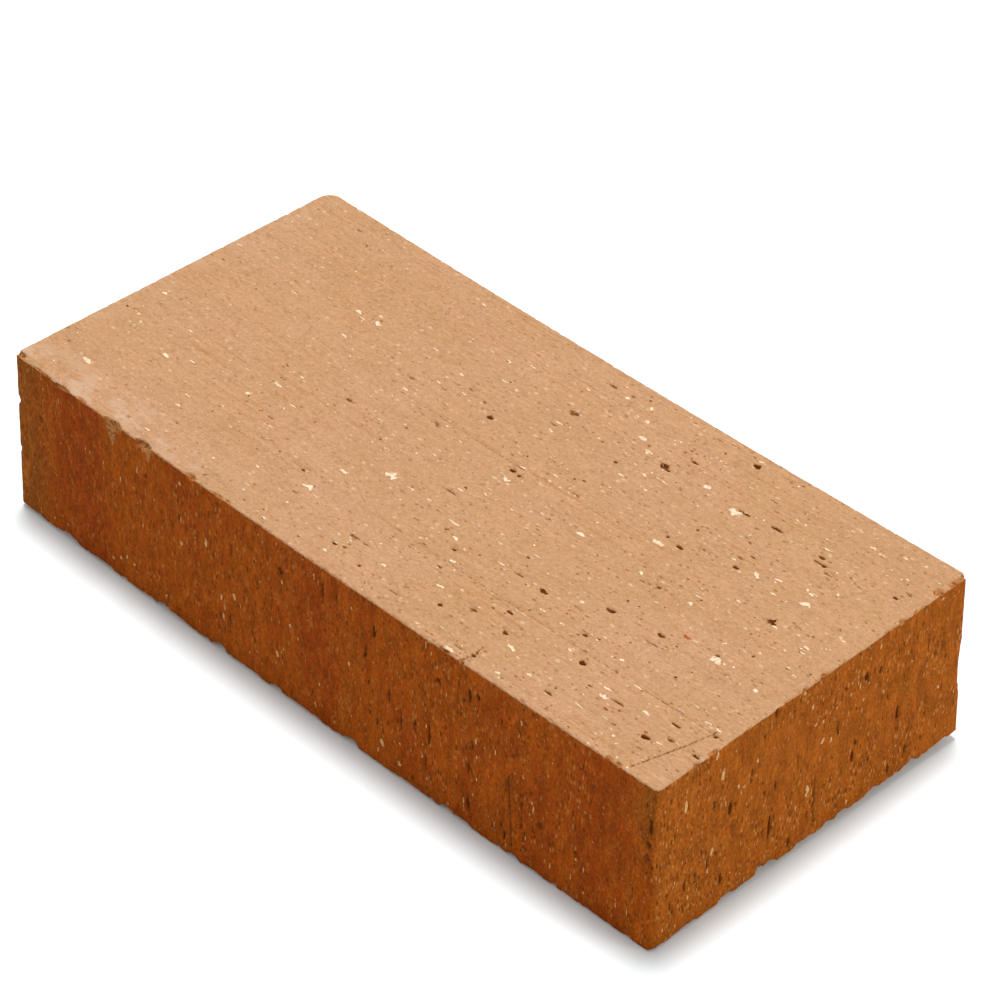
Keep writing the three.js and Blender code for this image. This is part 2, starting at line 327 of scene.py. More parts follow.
def round_corners(points):
    """The upright edges, rounded in plan: a square's rings become circles inside each corner."""
    moved = points.copy()
    outward = np.zeros((len(points), 2))
    gap_x, gap_y = HALF_L - abs(points[:, 0]), HALF_W - abs(points[:, 1])
    near_x = gap_x < gap_y
    outward[near_x, 0] = np.sign(points[near_x, 0])
    outward[~near_x, 1] = np.sign(points[~near_x, 1])
    inset = np.minimum(gap_x, gap_y)
    for (sx, sy), radius in CORNER_RADII.items():
        centre = np.array([sx * (HALF_L - radius), sy * (HALF_W - radius)])
        d = (points[:, :2] - centre) * (sx, sy)
        ids = np.nonzero((d > 0).all(1))[0]
        far = np.hypot(*d[ids].T)
        ring = d[ids].max(1)
        outward[ids] = d[ids] / far[:, None] * (sx, sy)
        moved[ids, :2] = centre + outward[ids] * ring[:, None]
        inset[ids] = radius - ring
    return moved, outward, inset


def wear_edges(moved, outward, inset):
    """The horizontal edges: a small uneven round, between one face and the next."""
    for level, sign in ((HEIGHT, -1), (0.0, 1)):
        down = abs(moved[:, 2] - level)
        ids = np.nonzero((down < 2) & (inset < 2) & ((down < 1e-6) | (inset < 1e-6)))[0]
        rim = np.column_stack([moved[ids, :2] + outward[ids] * inset[ids, None], np.full(len(ids), level)])
        base = TOP_WEAR if sign < 0 else LOW_WEAR
        size = base * (1 + 0.7 * noise(rim, (1.5, 1.5, 1.5), SEED + 5, 2))
        size = size + 1.2 * base * smooth(noise(rim, (7, 7, 7), SEED + 6), 0.25, 0.8)
        if sign < 0:
            size *= np.where((rim[:, 1] > HALF_W - 1) | (rim[:, 0] < 1 - HALF_L), SHELTERED, 1.0)
        a = np.clip(1 - inset[ids] / size, 0, 1)
        b = np.clip(1 - down[ids] / size, 0, 1)
        on = (a > 0) & (b > 0)
        ids, a, b, size = ids[on], a[on], b[on], size[on]
        scale = (a ** WEAR_POWER + b ** WEAR_POWER) ** (-1 / WEAR_POWER)
        new_inset, new_down = size * (1 - a * scale), size * (1 - b * scale)
        moved[ids, :2] -= outward[ids] * (new_inset - inset[ids])[:, None]
        moved[ids, 2] = level + sign * new_down
    return moved


def carve(moved, raw, centre, radii, inward, seed, rough=0.3):
    """Takes a scoop out of the clay: points inside the ellipsoid move along inward to its far wall."""
    centre, radii = np.array(centre, float), np.array(radii, float)
    ids = np.nonzero((abs(moved - centre) < radii * (1 + rough)).all(1))[0]
    if len(ids) == 0:
        return
    swell = 1 + rough * noise(moved[ids], radii * 0.7 + 0.3, seed, 2)
    q = (moved[ids] - centre) / radii / swell[:, None]
    inside = (q * q).sum(1) < 1
    ids, q, swell = ids[inside], q[inside], swell[inside]
    way = np.array(inward, float)
    way /= np.linalg.norm(way)
    d = way / radii / swell[:, None]
    a, b, c = (d * d).sum(1), (q * d).sum(1), (q * q).sum(1) - 1
    t = (-b + np.sqrt(b * b - a * c)) / a
    t *= 1 + 0.3 * noise(moved[ids], (0.7, 0.7, 0.7), seed + 1, 2)
    moved[ids] += way * t[:, None]
    raw[ids] = np.maximum(raw[ids], smooth(t, 0.05, 0.5))


# Chips off the edges that stand out: centre (x, y, z), reach (x, y, z) and way in, all mm.
TOP_CHIPS = [
    ((-78.8, -HALF_W, HEIGHT), (2.3, 0.9, 8.0), (0, 1, -0.2)),
    ((-77.5, -HALF_W, HEIGHT), (3.6, 1.2, 3.2), (0, 1, -0.4)),
    ((-65.5, -HALF_W, HEIGHT), (2.6, 1.7, 3.4), (0, 1, -0.6)),
    ((-63.5, -HALF_W, HEIGHT), (1.6, 1.0, 6.0), (0, 1, -0.3)),
    ((-46, -HALF_W, HEIGHT), (2.2, 1.5, 1.6), (0, 1, -1)),
    ((-107, -HALF_W, HEIGHT), (4.5, 0.8, 0.9), (0, 1, -1)),
    ((-99, -HALF_W, HEIGHT), (3.0, 0.8, 1.4), (0, 1, -1)),
    ((-91, -HALF_W, HEIGHT), (2.4, 1.1, 1.1), (0, 1, -1)),
    ((-35, -HALF_W, HEIGHT), (2.6, 1.1, 1.0), (0, 1, -1)),
    ((-31, -HALF_W, HEIGHT), (1.2, 1.3, 0.9), (0, 1, -1)),
    ((49, -HALF_W, HEIGHT), (2.2, 1.3, 1.0), (0, 1, -1)),
    ((55, -HALF_W, HEIGHT), (1.0, 1.0, 1.4), (0, 1, -1)),
    ((104, -HALF_W + 0.4, HEIGHT), (1.4, 1.0, 0.8), (0, 1, -1)),
    ((107, -HALF_W + 0.4, HEIGHT), (1.0, 0.9, 0.9), (0, 1, -1)),
    ((HALF_L, -38, HEIGHT), (1.0, 2.0, 1.0), (-1, 0, -1)),
    ((HALF_L, -44, HEIGHT), (0.9, 1.2, 1.4), (-1, 0, -1)),
    ((HALF_L, -5, HEIGHT), (0.9, 1.0, 1.2), (-1, 0, -1)),
    ((HALF_L, 2, HEIGHT), (1.0, 1.4, 1.2), (-1, 0, -1)),
    ((HALF_L, 32, HEIGHT), (1.2, 1.2, 1.8), (-1, 0, -1)),
    ((HALF_L - 1, 47, HEIGHT), (1.4, 1.4, 1.1), (-1, 0, -1)),
    ((HALF_L - 0.6, 53, HEIGHT), (1.0, 2.4, 0.9), (-1, 0, -1)),
    ((HALF_L - 0.6, HALF_W - 0.6, HEIGHT), (1.2, 1.2, 1.6), (-1, -1, -1)),
    ((-HALF_L + 1.5, -HALF_W + 1, HEIGHT), (2.0, 1.2, 1.4), (1, 1, -1)),
]
LOW_CHIPS = [
    ((-98, -HALF_W, 0), (4.0, 2.0, 1.5), (0, 1, 0.8)),
    ((-84, -HALF_W, 0), (5.0, 1.6, 0.8), (0, 1, 0.8)),
    ((-58, -HALF_W, 0), (3.2, 2.4, 1.9), (0, 1, 0.8)),
    ((-53, -HALF_W, 0), (6.0, 1.6, 0.9), (0, 1, 0.8)),
    ((-35, -HALF_W, 0), (3.4, 2.6, 1.9), (0, 1, 0.8)),
    ((-13, -HALF_W, 0), (2.4, 2.0, 1.4), (0, 1, 0.8)),
    ((-6, -HALF_W, 0), (7.0, 1.4, 0.7), (0, 1, 0.8)),
    ((16, -HALF_W, 0), (2.8, 2.2, 1.5), (0, 1, 0.8)),
    ((51, -HALF_W, 0), (2.6, 2.6, 1.9), (0, 1, 0.8)),
    ((56, -HALF_W, 0), (3.6, 2.2, 1.2), (0, 1, 0.8)),
    ((74, -HALF_W + 1, 0), (2.2, 2.0, 1.3), (0, 1, 0.8)),
    ((81, -HALF_W + 1, 0), (5.0, 1.6, 0.8), (0, 1, 0.8)),
    ((HALF_L, -18.5, 0), (3.4, 2.0, 3.8), (-1, 0, 0.5)),
    ((HALF_L, -15, 0), (3.0, 2.6, 1.8), (-1, 0, 0.8)),
    ((HALF_L, -45, 0), (2.4, 3.6, 0.9), (-1, 0, 0.8)),
    ((HALF_L, -31, 0), (2.6, 2.4, 1.5), (-1, 0, 0.8)),
    ((HALF_L, -3, 0), (2.2, 3.0, 0.9), (-1, 0, 0.8)),
    ((HALF_L, 12, 0), (2.2, 2.6, 1.1), (-1, 0, 0.8)),
    ((HALF_L, 24, 0), (2.4, 2.0, 1.2), (-1, 0, 0.8)),
    ((HALF_L, 39, 0), (2.6, 2.0, 1.7), (-1, 0, 0.8)),
    ((HALF_L - 1, 51, 0), (2.4, 2.0, 1.0), (-1, -0.3, 0.8)),
    ((HALF_L - 1.5, -HALF_W + 3, 0), (3.0, 3.0, 0.9), (-1, 1, 1)),
]
UPRIGHT_CHIPS = [
    ((-HALF_L + 0.4, -HALF_W + 0.4, 37), (1.0, 1.0, 2.0), (1, 1, 0)),
    ((-HALF_L + 0.4, -HALF_W + 0.4, 20), (0.8, 0.8, 1.5), (1, 1, 0)),
    ((HALF_L - 0.3, HALF_W - 0.3, 22), (1.0, 1.2, 9.0), (-1, -1, 0)),
]
BACK_CHIPS = 18                            # bigger chips along the lower edges of the back and the far end
# Small chips along all the edges at one height: the height, which way is in, how many, and their reach (mm).
SMALL_CHIPS = [(HEIGHT, -1, 260, (0.3, 0.8)), (0.0, 1, 120, (0.4, 1.2))]
FAR_CHIPS = 0.5                            # small chips on the back and far top edges reach this much as far


def chip_edges(moved, raw, rng):
    for number, (centre, radii, inward) in enumerate(TOP_CHIPS + LOW_CHIPS + UPRIGHT_CHIPS):
        carve(moved, raw, centre, radii, inward, SEED + 100 + number)
    own = np.random.default_rng(SEED + 1)
    for number in range(BACK_CHIPS):
        radii = np.array([own.uniform(1.8, 4.5), own.uniform(1.6, 2.6), own.uniform(0.8, 1.9)])
        if number % 3:
            centre, inward = (own.uniform(-HALF_L + 6, HALF_L - 6), HALF_W, 0), (0, -1, 0.8)
        else:
            centre, inward = (-HALF_L, own.uniform(-HALF_W + 6, HALF_W - 6), 0), (1, 0, 0.8)
            radii = radii[[1, 0, 2]]
        carve(moved, raw, centre, radii, inward, SEED + 250 + number)
    for level, way, count, size in SMALL_CHIPS:
        for number in range(count):
            reach = rng.uniform(*size)
            stretch = rng.uniform(0.8, 2.2)
            far_edge = FAR_CHIPS if level else 1.0
            if rng.random() < LENGTH / (LENGTH + WIDTH):
                side = rng.choice((-1, 1))
                reach *= far_edge if side > 0 else 1
                centre = (rng.uniform(-HALF_L + 3, HALF_L - 3), side * (HALF_W + 0.3 * reach), level)
                radii, inward = (reach * stretch, reach, reach * 0.9), (0, -side, way)
            else:
                side = rng.choice((-1, 1))
                reach *= far_edge if side < 0 else 1
                centre = (side * (HALF_L + 0.3 * reach), rng.uniform(-HALF_W + 3, HALF_W - 3), level)
                radii, inward = (reach, reach * stretch, reach * 0.9), (-side, 0, way)
            carve(moved, raw, centre, radii, inward, SEED + 300 + number)


def warp(points):
    """The brick as it dried: slightly out of square, with its long sides bowed towards -Y."""
    u, v, w = points[:, 0] / LENGTH + 0.5, points[:, 1] / WIDTH + 0.5, points[:, 2] / HEIGHT
    moved = points.copy()
    for (sx, sy, top), (in_x, in_y, up) in CORNER_INSET.items():
        share = (u if sx > 0 else 1 - u) * (v if sy > 0 else 1 - v) * (w if top else 1 - w)
        moved += share[:, None] * np.array([-sx * in_x, -sy * in_y, up])
    moved[:, 1] -= BOW * 4 * u * (1 - u)
    return moved


def surface_relief(points, bed):
    """How far each point stands in from its face: drag marks on the beds, die streaks on the sides."""
    drag = 0.05 * noise(points, (40, 0.9, 9), SEED + 20, 2) + 0.07 * noise(points, (60, 5, 9), SEED + 21)
    swell = 0.10 * noise(points, (34, 22, 20), SEED + 22, 2)
    streak = 0.07 * noise(points, (1.1, 1.1, 26), SEED + 23, 2) + 0.10 * noise(points, (5, 5, 60), SEED + 24)
    grit = 0.035 * noise(points, (0.9, 0.9, 0.9), SEED + 25)
    beds = drag + 0.6 * swell + grit
    sides = streak + swell + 1.5 * grit
    return RELIEF + np.where(bed, beds, sides)


def shape_block(block, rng):
    """Where every grid point ends up, and which way was outwards there."""
    nominal = block.points
    bed = (abs(nominal[:, 2] - HEIGHT / 2) > HEIGHT / 2 - 1e-6)
    moved, outward, inset = round_corners(nominal)
    normal = np.column_stack([outward * ~bed[:, None], np.where(bed, np.sign(nominal[:, 2] - HEIGHT / 2), 0)])
    rim = np.minimum(inset + abs(HEIGHT / 2 - abs(nominal[:, 2] - HEIGHT / 2)), 1.0)
    moved = wear_edges(moved, outward, inset)
    chip_edges(moved, block.raw, rng)
    deep = block.sunk * crispness(nominal) * np.where(bed, smooth(inset, 0.2, 1.5), 1)
    relief = surface_relief(nominal, bed) * (0.4 + 0.6 * rim)
    moved -= normal * (relief + deep)[:, None]
    moved[:, 2] = np.clip(moved[:, 2], 0.0, HEIGHT)
    block.sunk = deep
    from_bed = np.minimum(HEIGHT - moved[:, 2], 2.5 * moved[:, 2])
    block.bed = np.clip(1 - from_bed / BED_SKIN, 0, 1)
    block.end = outward[:, 0] ** 2
    return warp(moved)


# ---------------------------------------------------------------- meshes
TRIANGLES = 200000                         # in the clay, after thinning


def add_object(name, points, faces, corners, attributes=None):
    """A mesh object from points in mm and faces with a given number of corners each."""
    mesh = bpy.data.meshes.new(name)
    mesh.vertices.add(len(points))
    mesh.vertices.foreach_set("co", (np.asarray(points) * MM).astype(np.float32).ravel())
    mesh.loops.add(faces.size)
    mesh.loops.foreach_set("vertex_index", faces.astype(np.int32).ravel())
    mesh.polygons.add(len(faces))
    mesh.polygons.foreach_set("loop_start", (np.arange(len(faces)) * corners).astype(np.int32))
    mesh.update(calc_edges=True)
    for key, values in (attributes or {}).items():
        layer = mesh.attributes.new(key, "FLOAT", "POINT")
        layer.data.foreach_set("value", values.astype(np.float32))
    mesh.shade_smooth()
    piece = bpy.data.objects.new(name, mesh)
    bpy.context.scene.collection.objects.link(piece)
    return piece


def thin_out(piece, triangles):
    """Keeps the triangles where the shape needs them and drops them where the clay is nearly flat."""
    now = sum(len(p.vertices) - 2 for p in piece.data.polygons)
    modifier = piece.modifiers.new("thin_out", "DECIMATE")
    modifier.ratio = triangles / now
    modifier.use_collapse_triangulate = True
    bpy.context.view_layer.update()
    graph = bpy.context.evaluated_depsgraph_get()
    mesh = bpy.data.meshes.new_from_object(piece.evaluated_get(graph), depsgraph=graph)
    piece.modifiers.clear()
    piece.data = mesh
    mesh.shade_smooth()


def make_clay(rng):
    block = Block()
    mark_faces(block, rng)
    shaped = shape_block(block, rng)
    piece = add_object("fired_clay_body", shaped, block.quads(), 4,
                       {"sunk": block.sunk, "raw": block.raw, "bed": block.bed, "end": block.end})
    thin_out(piece, TRIANGLES)
    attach(piece, "root")
    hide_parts("brick_body")
    return piece, block, shaped


# ---------------------------------------------------------------- mineral grains
def ball_mesh(splits):
    """A round stone's points and triangles, to be stretched and knocked into shape."""
    mesh = bpy.data.meshes.new("ball")
    work = bmesh.new()
    bmesh.ops.create_icosphere(work, subdivisions=splits, radius=1)
    work.to_mesh(mesh)
    work.free()
    points = np.array([v.co for v in mesh.vertices])
    faces = np.array([p.vertices for p in mesh.polygons])
    bpy.data.meshes.remove(mesh)
    return points, faces


BEDS = ("top", "under")
ENDS = ("end", "far")
COARSE_BALL = ball_mesh(4)
FINE_BALL = ball_mesh(2)


def stone(ball, seat, axes, long, wide, deep, proud, seed):
    """A grain drawn out along the face and cut nearly flush with it.

    seat is the point of the surface over it, and axes are the drawn, cross and outward directions. proud is
    how far its flat cap stands above the surface.
    """
    knock = 1 + 0.32 * noise(ball * 2, (1.3, 1.3, 1.3), seed)
    knock = knock + 0.14 * noise(ball * 5, (1.6, 1.6, 1.6), seed + 1, 2)
    local = ball * knock[:, None] * (long / 2, wide / 2, deep)
    local[:, 1] += 0.3 * wide * noise(ball[:, :1] * (1, 0, 0) * 2, (1, 1, 1), seed + 3)
    cap = proud + 0.02 * noise(ball * 3, (1, 1, 1), seed + 2)
    local[:, 2] = np.minimum(local[:, 2], cap)
    return seat + local @ np.array(axes, float)


def stone_marks(ball, face, bare):
    """What the material needs at a stone's points: its face, how bare of clay it is, and where its rim is."""
    one = np.ones(len(ball))
    return {"bed": one * (face in BEDS), "end": one * (face in ENDS), "bare": one * bare,
            "rim": np.hypot(ball[:, 0], ball[:, 1])}


def face_axes(face_entry):
    _, drawn, cross, normal = face_entry
    return np.array([np.eye(3)[drawn], np.eye(3)[cross], normal], float)


def nearest(block, face, u, v):
    """The number of the grid point nearest to (u, v) on a face."""
    grid, drawn, cross, _ = block.faces[face]
    i = np.abs(block.points[grid[:, 0], drawn] - u).argmin()
    j = np.abs(block.points[grid[0, :], cross] - v).argmin()
    return grid[i, j]


def make_named_grains(block, shaped):
    """The coarse grains of the frame, each where its CAD node is."""
    made = {"quartz": [], "ironstone": [], "red_grog": []}
    names = sorted(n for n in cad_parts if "_grain_" in n)
    for number, name in enumerate(names):
        kind, rest = name.split("_grain_")
        face = rest.split("_")[0]
        low, high = (np.array(c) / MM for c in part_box(name))
        centre, size = (low + high) / 2, high - low
        _, drawn, cross, _ = block.faces[face]
        seat = shaped[nearest(block, face, centre[drawn], centre[cross])]
        long, wide = size[drawn], size[cross] * 0.8
        ball, faces = COARSE_BALL
        axes = face_axes(block.faces[face])
        points = stone(ball, seat, axes, long, wide, wide * 0.5, 0.05, SEED + 500 + number)
        marks = stone_marks(ball, face, 0.85)
        piece = add_object(name.replace("_grain_", "_stone_"), points, faces, 3, marks)
        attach(piece, "root")
        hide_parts(name)
        made[kind].append(piece)
    return made


# Pale grains that stand out but are too small to be nodes of their own: along, across, length, width (mm).
PLACED_QUARTZ = {
    "top": [
        (50, -56.2, 3.8, 1.3), (38, -55, 3.2, 1.0), (20, -25, 2.4, 1.0), (-62, 24, 2.8, 1.8),
        (-70, 24, 3.0, 1.4), (-64, 27, 1.8, 1.4), (-60, -14.5, 3.4, 1.0), (35, 29, 1.6, 1.6),
        (-8, 46, 2.6, 1.0), (79, -1, 1.8, 1.4), (62, -1, 1.6, 1.2), (-29, 24, 1.8, 1.2),
        (-114, -10, 2.2, 1.2), (26, -32, 2.2, 1.0), (31, -41, 3.0, 0.8), (-37, -42, 2.8, 1.0),
        (-48, -48, 2.0, 1.2), (109, -56.4, 1.6, 1.0), (60, -20, 1.6, 1.0), (102, 28, 1.4, 1.2),
        (112, -14, 1.8, 1.2), (50, 37, 2.6, 1.8), (20, 46, 1.8, 1.4), (17, 51, 1.8, 1.6),
        (9, 50, 1.6, 1.0), (-18, 41, 3.0, 1.0), (-25, 38, 2.8, 1.0), (13.5, 0.5, 2.2, 1.2),
        (-35, 9, 2.2, 0.9), (15, -21, 5.0, 0.7), (-5, -21, 2.0, 0.9), (-91, -28, 3.6, 1.2),
        (-63, -23, 2.0, 1.0), (40, -8, 1.8, 0.8), (110, 7, 2.4, 1.0), (97, -57, 1.6, 0.8),
        (70, -49, 2.0, 0.9), (1, -52, 2.4, 0.9), (36, -38, 1.6, 0.9),
    ],
    "side": [
        (48, 2, 2.4, 0.8), (46, 76, 2.0, 0.7), (28, -50, 1.8, 1.0), (31, 67, 2.2, 0.7), (9, 43, 2.2, 0.8),
        (6.5, 43.6, 1.4, 0.6), (13, 42, 1.2, 0.6), (17, 42, 1.2, 0.5), (24, 43, 1.6, 0.6),
        (12, 34, 1.2, 0.6), (30, 60.5, 2.4, 0.6), (25, 61, 1.4, 0.6), (18, 61, 1.6, 0.6),
        (12, 60, 1.2, 0.6), (35, 85, 1.6, 0.6), (40, 86, 1.2, 0.5), (33, 88, 1.2, 0.6),
        (22.5, 80, 1.4, 0.9), (7, -76, 1.6, 1.0), (5, -79, 1.4, 0.9), (9, -73, 1.8, 0.8),
        (8, -70, 1.4, 0.7), (5, -57, 1.6, 0.9), (35, -46, 2.6, 0.7), (15, -53, 1.6, 0.8),
        (26, -7, 1.6, 0.9), (27, 15, 1.8, 0.8), (13, 4, 1.4, 0.7), (46, 16, 1.2, 0.6),
        (35, -75, 2.2, 0.7), (19, -34, 2.8, 0.8), (16, -33, 2.2, 0.8), (12.5, -33.4, 2.8, 0.8),
        (23, 100, 1.4, 0.7), (11, 103, 1.4, 0.7), (4, 107, 1.6, 0.8), (14, 95, 1.2, 0.6),
        (29, 77, 1.4, 0.7), (39, -10, 1.8, 0.8), (48, -50, 1.6, 0.8),
    ],
    "end": [
        (51, -36.5, 3.0, 1.2), (29.5, 6, 2.0, 0.9), (51, -5, 2.4, 1.1), (49, 24, 1.8, 0.7),
        (36, -28, 1.4, 0.8), (33, -27, 1.6, 0.6), (50.5, 47.5, 1.6, 1.4), (37.5, 3, 1.2, 0.9),
        (38, 0, 1.2, 0.8), (35.5, 18, 1.6, 0.9), (45, -1.5, 2.0, 0.9), (14, -38, 3.6, 0.7),
        (10, -45, 1.8, 0.8), (36.5, 36.5, 1.4, 0.9), (40, 13, 1.4, 0.8), (21, 48, 1.6, 0.9),
        (31, 42.5, 1.4, 0.8), (3, 13.5, 2.0, 0.8), (40, -21.5, 1.4, 0.9), (14, -6, 2.0, 0.6),
    ],
}
# Fine grains in 100 x 100 mm of a face, by mineral: how many, length and width (mm).
FINE_GRAINS = {
    "quartz": {"bed": (430, (0.7, 3.4), (0.4, 1.0)), "die": (330, (0.7, 3.2), (0.3, 0.7))},
    "ironstone": {"bed": (110, (0.5, 1.8), (0.35, 0.8)), "die": (110, (0.6, 2.6), (0.35, 0.7))},
    "red_grog": {"bed": (60, (0.6, 2.0), (0.4, 0.9)), "die": (50, (0.8, 2.4), (0.4, 0.8))},
}


def scattered_grains(block, face, amount, rng):
    """Random places for fine grains on a face, as (along, across, length, width, bareness)."""
    grid, drawn, cross, _ = block.faces[face]
    density, longs, wides = amount
    low_u, high_u = block.points[grid[[0, -1], 0], drawn]
    low_v, high_v = block.points[grid[0, [0, -1]], cross]
    found = []
    for _ in range(int(density * (high_u - low_u) * (high_v - low_v) / 1e4)):
        u, v = rng.uniform(low_u + 1.5, high_u - 1.5), rng.uniform(low_v + 1.5, high_v - 1.5)
        long = longs[0] + (longs[1] - longs[0]) * rng.random() ** 2.2
        wide = min(rng.uniform(*wides), long)
        bare = 0.25 + 0.65 * rng.random() ** 1.3
        keep = rng.random() < crowding(block, face, u, v, 0.4)
        if keep and block.sunk[nearest(block, face, u, v)] < 0.1:
            found.append((u, v, long, wide, bare))
    return found


def make_fine_grains(block, shaped, rng):
    """Every smaller grain of one mineral as one piece of many separate stones."""
    made = {}
    ball, triangles = FINE_BALL
    for kind, amounts in FINE_GRAINS.items():
        points, faces, marks = [], [], []
        for face, entry in block.faces.items():
            grains = [(*g, 0.9) for g in PLACED_QUARTZ.get(face, ())] if kind == "quartz" else []
            grains += scattered_grains(block, face, amounts["bed" if face in BEDS else "die"], rng)
            for u, v, long, wide, bare in grains:
                seat = shaped[nearest(block, face, u, v)]
                proud = rng.uniform(-0.02, 0.05)
                faces.append(triangles + len(points) * len(ball))
                seed = int(rng.integers(1 << 20))
                points.append(stone(ball, seat, face_axes(entry), long, wide, wide * 0.45, proud, seed))
                marks.append(stone_marks(ball, face, bare))
        marks = {key: np.concatenate([m[key] for m in marks]) for key in marks[0]}
        piece = add_object(f"fine_{kind}_stones", np.concatenate(points), np.concatenate(faces), 3, marks)
        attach(piece, "root")
        made[kind] = piece
    return made


# ---------------------------------------------------------------- materials
SPECK_CORE = 0.4                           # the share of a speck's radius that has its full colour


class Nodes:
    """Short names for the shader nodes that the materials are made of."""

    def __init__(self, name, roughness, specular):
        self.material = bpy.data.materials.new(name)
        self.material.use_nodes = True
        self.tree = self.material.node_tree
        self.shader = self.tree.nodes["Principled BSDF"]
        self.shader.inputs["Roughness"].default_value = roughness
        self.shader.inputs["Specular IOR Level"].default_value = specular

    def add(self, kind, settings=None, **inputs):
        node = self.tree.nodes.new(kind)
        for key, value in (settings or {}).items():
            setattr(node, key, value)
        for key, value in inputs.items():
            self.put(node.inputs[key.replace("_", " ")], value)
        return node

    def put(self, socket, value):
        if isinstance(value, bpy.types.NodeSocket):
            self.tree.links.new(value, socket)
        elif value is not None:
            socket.default_value = value

    def place(self, size=(1, 1, 1)):
        """Object coordinates, counted in bumps of the given size in mm."""
        source = self.add("ShaderNodeTexCoord").outputs["Object"]
        scale = tuple(1 / (MM * s) for s in size)
        node = self.add("ShaderNodeVectorMath", {"operation": "MULTIPLY"})
        self.put(node.inputs[0], source)
        node.inputs[1].default_value = scale
        return node.outputs[0]

    def noise(self, size, detail=2.0, rough=0.5):
        node = self.add("ShaderNodeTexNoise", None, Vector=self.place(size), Scale=1.0, Detail=detail,
                        Roughness=rough)
        return node.outputs["Fac"]

    def cells(self, size):
        """Scattered cells: how far from the nearest cell's middle, and a random colour for that cell."""
        node = self.add("ShaderNodeTexVoronoi", None, Vector=self.place(size), Scale=1.0)
        random = self.add("ShaderNodeSeparateColor", None, Color=node.outputs["Color"])
        return node.outputs["Distance"], random

    def math(self, operation, a, b=None, c=None):
        node = self.add("ShaderNodeMath", {"operation": operation})
        for socket, value in zip(node.inputs, (a, b, c)):
            self.put(socket, value)
        return node.outputs[0]

    def step(self, value, low, high, to_low=0.0, to_high=1.0):
        """A smooth step of value from low to high."""
        node = self.add("ShaderNodeMapRange", {"interpolation_type": "SMOOTHSTEP"})
        for key, entry in (("Value", value), ("From Min", low), ("From Max", high), ("To Min", to_low),
                           ("To Max", to_high)):
            self.put(node.inputs[key], entry)
        return node.outputs["Result"]

    def mix(self, share, a, b):
        node = self.add("ShaderNodeMix", {"data_type": "RGBA", "blend_type": "MIX"})
        for index, value in ((0, share), (6, a), (7, b)):
            if isinstance(value, tuple):
                value = (*value, 1.0)
            self.put(node.inputs[index], value)
        return node.outputs[2]

    def shade(self, color, factor):
        """color, made lighter or darker by a factor."""
        node = self.add("ShaderNodeVectorMath", {"operation": "SCALE"})
        self.put(node.inputs[0], color)
        self.put(node.inputs["Scale"], factor)
        return node.outputs[0]

    def attribute(self, name):
        return self.add("ShaderNodeAttribute", {"attribute_name": name}).outputs["Fac"]

    def specks(self, size, share, low, high):
        """Soft-edged specks: the share of cells that hold one, and its radius range in cells."""
        distance, random = self.cells(size)
        chosen = self.math("LESS_THAN", random.outputs["Red"], share)
        radius = self.math("MULTIPLY_ADD", random.outputs["Green"], high - low, low)
        inner = self.math("MULTIPLY", radius, SPECK_CORE)
        return self.math("MULTIPLY", self.step(distance, inner, radius, 1.0, 0.0), chosen)

    def bump(self, height, distance):
        node = self.add("ShaderNodeBump", None, Height=height, Strength=1.0, Distance=distance * MM)
        self.put(self.shader.inputs["Normal"], node.outputs["Normal"])


BED_TAN = (0.470, 0.260, 0.130)
BED_PINK = (0.488, 0.268, 0.146)
BED_BROWN = (0.375, 0.192, 0.082)
BED_DUST = (0.550, 0.375, 0.260)
BED_RUST = (0.385, 0.165, 0.052)
DIE_ORANGE = (0.288, 0.058, 0.0034)
DIE_RED = (0.235, 0.037, 0.0028)
DIE_OLIVE = (0.210, 0.068, 0.0075)
DIE_END = (0.270, 0.068, 0.0055)
DIE_TAN = (0.345, 0.104, 0.013)
PALE_FLECK = (0.600, 0.400, 0.250)
DARK_FLECK = (0.225, 0.090, 0.026)
DIE_FLECK = (0.400, 0.160, 0.040)
RAW_CLAY = (0.470, 0.205, 0.072)
RAW_BROWN = (0.170, 0.050, 0.008)
# The pits' colours: the clay in a pit is darker, and these colours also hold painted shade for the hollow.
PIT_RIM_CLAY_AND_SHADE = (0.230, 0.080, 0.018)
PIT_CLAY_AND_SHADE = (0.100, 0.024, 0.002)
BED_PIT_CLAY_AND_SHADE = (0.155, 0.046, 0.008)


